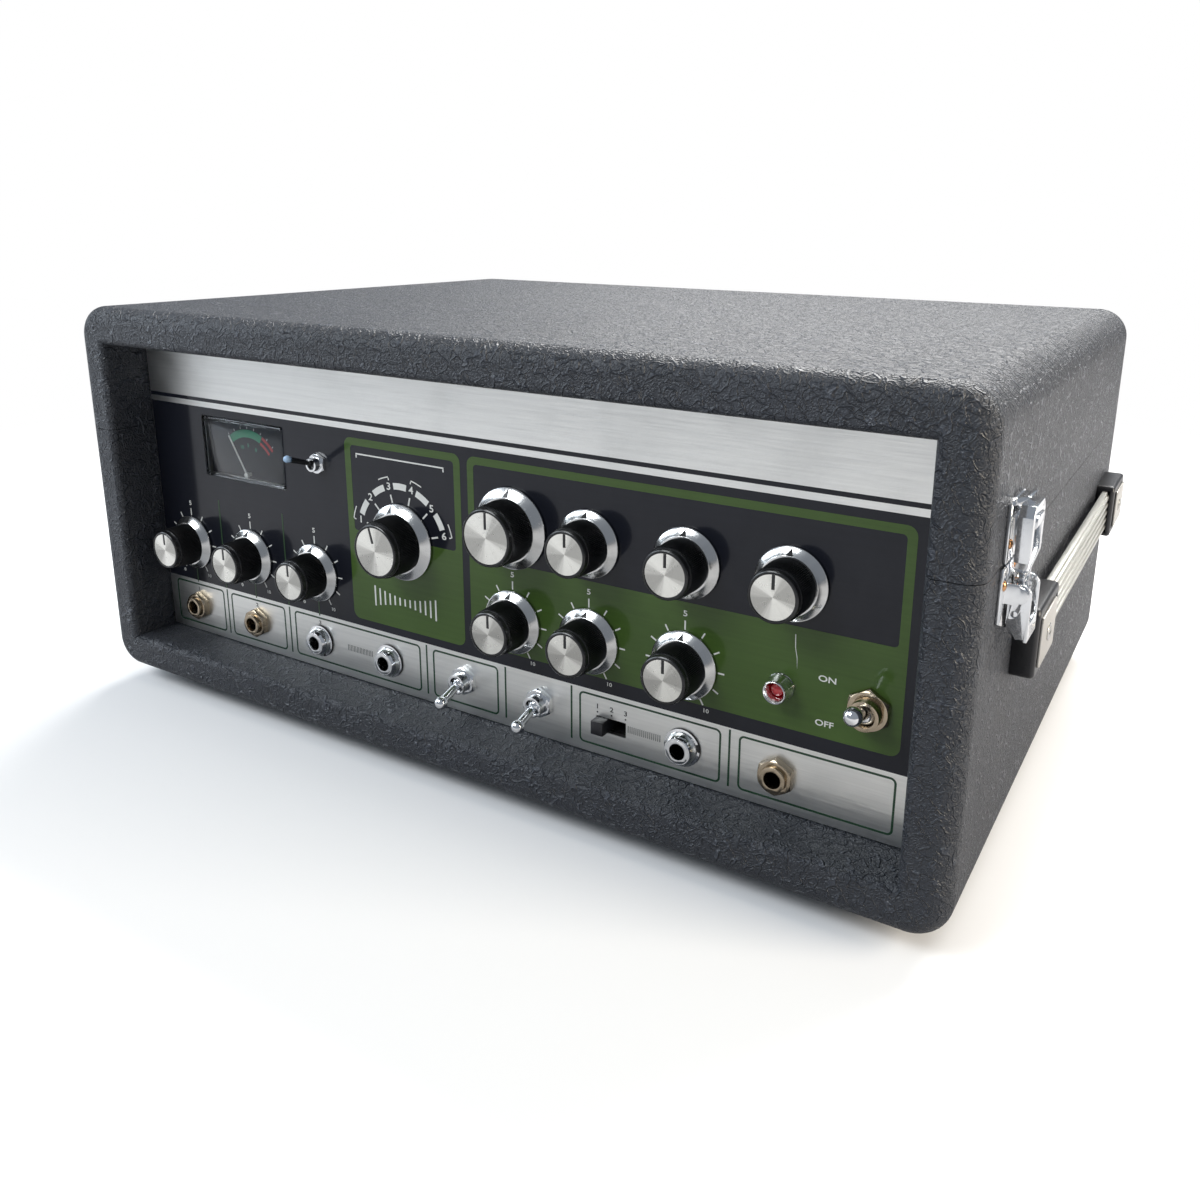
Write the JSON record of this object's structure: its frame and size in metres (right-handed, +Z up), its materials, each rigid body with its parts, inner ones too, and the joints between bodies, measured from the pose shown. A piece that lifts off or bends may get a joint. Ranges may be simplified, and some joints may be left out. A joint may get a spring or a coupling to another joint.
{
  "type": "tape echo unit",
  "caption": "Table-top tape echo unit in a covered wooden carrying cabinet with a recessed control panel, hinged lid over an endless-loop tape deck, draw latches and a side strap handle.",
  "frame": {"origin": "middle of the footprint, level with the undersides of the feet", "axes": "+X to the right of someone facing the panel, +Y to the back, +Z up"},
  "size_m": [0.4316, 0.3033, 0.185],
  "materials": {
    "covering": "boards covered in charcoal leatherette",
    "panel": "brushed faceplate, printed",
    "black_plastic": "moulded",
    "rubber": "matte",
    "chrome": "bright plated",
    "nickel": "nickel plated",
    "sheet_steel": "zinc plated",
    "bare_aluminium": "satin",
    "strap_grey": "ribbed vinyl over steel",
    "clear": "clear acrylic",
    "red_lens": "red jewel",
    "dial_black": "printed dial",
    "needle_white": "painted white",
    "board_green": "laminate",
    "core_iron": "laminated and varnished",
    "tape_brown": "oxide coated film",
    "felt": "felt",
    "roller_rubber": "ground"
  },
  "bodies": {
    "cabinet": {"case": "covering", "feet": "rubber", "front_panel": "panel", "chassis": "sheet_steel", "potentiometers": "sheet_steel", "jack_sockets": "nickel", "jack_bodies": "black_plastic", "toggle_bushings": "nickel", "slide_switch": "sheet_steel", "meter_window": "clear", "meter_body": "black_plastic", "meter_dial": "dial_black", "lamp_bezel": "chrome", "lamp_lens": "red_lens", "latch_plates": "chrome", "handle_caps": "black_plastic", "handle_inlays": "bare_aluminium", "handle_strap": "strap_grey", "hinge_leaves_case": "chrome", "back_plate": "sheet_steel", "mains_inlet": "black_plastic", "circuit_board": "board_green", "transformer": "core_iron", "deck_plate": "bare_aluminium", "deck_rails": "sheet_steel", "tape_tray": "black_plastic", "tray_cover": "clear", "tape_loop": "tape_brown", "deck_posts": "chrome", "tape_heads": "nickel", "head_brackets": "sheet_steel", "pressure_pads": "felt", "capstan_motor": "sheet_steel"},
    "lid": {"lid": "covering", "latch_keepers": "chrome", "hinge_leaves_lid": "chrome"},
    "lever_right": {"latch_lever_right": "chrome"},
    "lever_left": {"latch_lever_left": "chrome"},
    "loop_right": {"latch_loop_right": "chrome"},
    "loop_left": {"latch_loop_left": "chrome"},
    "slide": {"slide_knob": "black_plastic"},
    "needle": {"meter_needle": "needle_white"},
    "capstan": {"capstan": "chrome"},
    "arm": {"pinch_arm": "sheet_steel"},
    "roller": {"pinch_roller": "roller_rubber"},
    "knob_level_1_body": {"knob_level_1": "black_plastic"},
    "knob_level_2_body": {"knob_level_2": "black_plastic"},
    "knob_level_3_body": {"knob_level_3": "black_plastic"},
    "knob_mode_body": {"knob_mode": "black_plastic"},
    "knob_drive_body": {"knob_drive": "black_plastic"},
    "knob_bass_body": {"knob_bass": "black_plastic"},
    "knob_treble_body": {"knob_treble": "black_plastic"},
    "knob_reverb_body": {"knob_reverb": "black_plastic"},
    "knob_rate_body": {"knob_rate": "black_plastic"},
    "knob_intensity_body": {"knob_intensity": "black_plastic"},
    "knob_echo_body": {"knob_echo": "black_plastic"},
    "toggle_power_body": {"toggle_power": "chrome"},
    "toggle_input_body": {"toggle_input": "chrome"},
    "toggle_output_body": {"toggle_output": "chrome"},
    "toggle_meter_body": {"toggle_meter": "chrome"}
  },
  "joints": [
    {"name": "lid_hinge", "type": "hinge", "parent": "cabinet", "child": "lid", "pos_m": [0, 0.1518, 0.128], "axis": [-1, 0, 0], "range_deg": [0, 100]},
    {"name": "lever_right_swing", "type": "hinge", "parent": "cabinet", "child": "lever_right", "pos_m": [0.2125, -0.115, 0.119], "axis": [0, -1, 0], "range_deg": [0, 90]},
    {"name": "loop_right_swing", "type": "hinge", "parent": "lever_right", "child": "loop_right", "pos_m": [0.2114, -0.115, 0.1125], "axis": [0, -1, 0], "range_deg": [-104, 0]},
    {"name": "lever_left_swing", "type": "hinge", "parent": "cabinet", "child": "lever_left", "pos_m": [-0.2125, -0.115, 0.119], "axis": [0, 1, 0], "range_deg": [0, 90]},
    {"name": "loop_left_swing", "type": "hinge", "parent": "lever_left", "child": "loop_left", "pos_m": [-0.2114, -0.115, 0.1125], "axis": [0, 1, 0], "range_deg": [-104, 0]},
    {"name": "knob_level_1_turn", "type": "hinge", "parent": "cabinet", "child": "knob_level_1_body", "pos_m": [-0.168, -0.127, 0.0718], "axis": [0, 1, 0], "range_deg": [-150, 150]},
    {"name": "knob_level_2_turn", "type": "hinge", "parent": "cabinet", "child": "knob_level_2_body", "pos_m": [-0.126, -0.127, 0.0718], "axis": [0, 1, 0], "range_deg": [-150, 150]},
    {"name": "knob_level_3_turn", "type": "hinge", "parent": "cabinet", "child": "knob_level_3_body", "pos_m": [-0.084, -0.127, 0.0718], "axis": [0, 1, 0], "range_deg": [-150, 150]},
    {"name": "knob_mode_turn", "type": "hinge", "parent": "cabinet", "child": "knob_mode_body", "pos_m": [-0.0314, -0.127, 0.0951], "axis": [0, 1, 0], "range_deg": [-60, 90]},
    {"name": "knob_drive_turn", "type": "hinge", "parent": "cabinet", "child": "knob_drive_body", "pos_m": [0.0258, -0.127, 0.1105], "axis": [0, 1, 0], "range_deg": [-150, 150]},
    {"name": "knob_bass_turn", "type": "hinge", "parent": "cabinet", "child": "knob_bass_body", "pos_m": [0.0615, -0.127, 0.1105], "axis": [0, 1, 0], "range_deg": [-150, 150]},
    {"name": "knob_treble_turn", "type": "hinge", "parent": "cabinet", "child": "knob_treble_body", "pos_m": [0.1024, -0.127, 0.1105], "axis": [0, 1, 0], "range_deg": [-150, 150]},
    {"name": "knob_reverb_turn", "type": "hinge", "parent": "cabinet", "child": "knob_reverb_body", "pos_m": [0.1418, -0.127, 0.1105], "axis": [0, 1, 0], "range_deg": [-150, 150]},
    {"name": "knob_rate_turn", "type": "hinge", "parent": "cabinet", "child": "knob_rate_body", "pos_m": [0.0258, -0.127, 0.0718], "axis": [0, 1, 0], "range_deg": [-150, 150]},
    {"name": "knob_intensity_turn", "type": "hinge", "parent": "cabinet", "child": "knob_intensity_body", "pos_m": [0.0615, -0.127, 0.0718], "axis": [0, 1, 0], "range_deg": [-150, 150]},
    {"name": "knob_echo_turn", "type": "hinge", "parent": "cabinet", "child": "knob_echo_body", "pos_m": [0.1024, -0.127, 0.0718], "axis": [0, 1, 0], "range_deg": [-150, 150]},
    {"name": "toggle_power_flip", "type": "hinge", "parent": "cabinet", "child": "toggle_power_body", "pos_m": [0.171, -0.1303, 0.0724], "axis": [1, 0, 0], "range_deg": [0, 38]},
    {"name": "toggle_input_flip", "type": "hinge", "parent": "cabinet", "child": "toggle_input_body", "pos_m": [0, -0.13, 0.0404], "axis": [1, 0, 0], "range_deg": [-38, 0]},
    {"name": "toggle_output_flip", "type": "hinge", "parent": "cabinet", "child": "toggle_output_body", "pos_m": [0.0385, -0.13, 0.0404], "axis": [1, 0, 0], "range_deg": [-38, 0]},
    {"name": "toggle_meter_flip", "type": "hinge", "parent": "cabinet", "child": "toggle_meter_body", "pos_m": [-0.078, -0.1293, 0.1228], "axis": [1, 0, 0], "range_deg": [0, 38]},
    {"name": "slide_move", "type": "slide", "parent": "cabinet", "child": "slide", "axis": [1, 0, 0], "range_m": [0, 0.0074]},
    {"name": "needle_swing", "type": "hinge", "parent": "cabinet", "child": "needle", "pos_m": [-0.1264, -0.127, 0.1107], "axis": [0, 1, 0], "range_deg": [0, 76]},
    {"name": "capstan_spin", "type": "hinge", "parent": "cabinet", "child": "capstan", "pos_m": [0.13, -0.06855, 0.124], "axis": [0, 0, 1], "continuous": true},
    {"name": "arm_swing", "type": "hinge", "parent": "cabinet", "child": "arm", "pos_m": [0.158, -0.08745, 0.124], "axis": [0, 0, 1], "range_deg": [0, 10]},
    {"name": "roller_spin", "type": "hinge", "parent": "arm", "child": "roller", "pos_m": [0.13, -0.08095, 0.124], "axis": [0, 0, 1], "continuous": true}
  ],
  "couplings": [
    {"joint": "loop_right_swing", "follows": "lever_right_swing", "ratio": -1.15},
    {"joint": "loop_left_swing", "follows": "lever_left_swing", "ratio": -1.15}
  ]
}
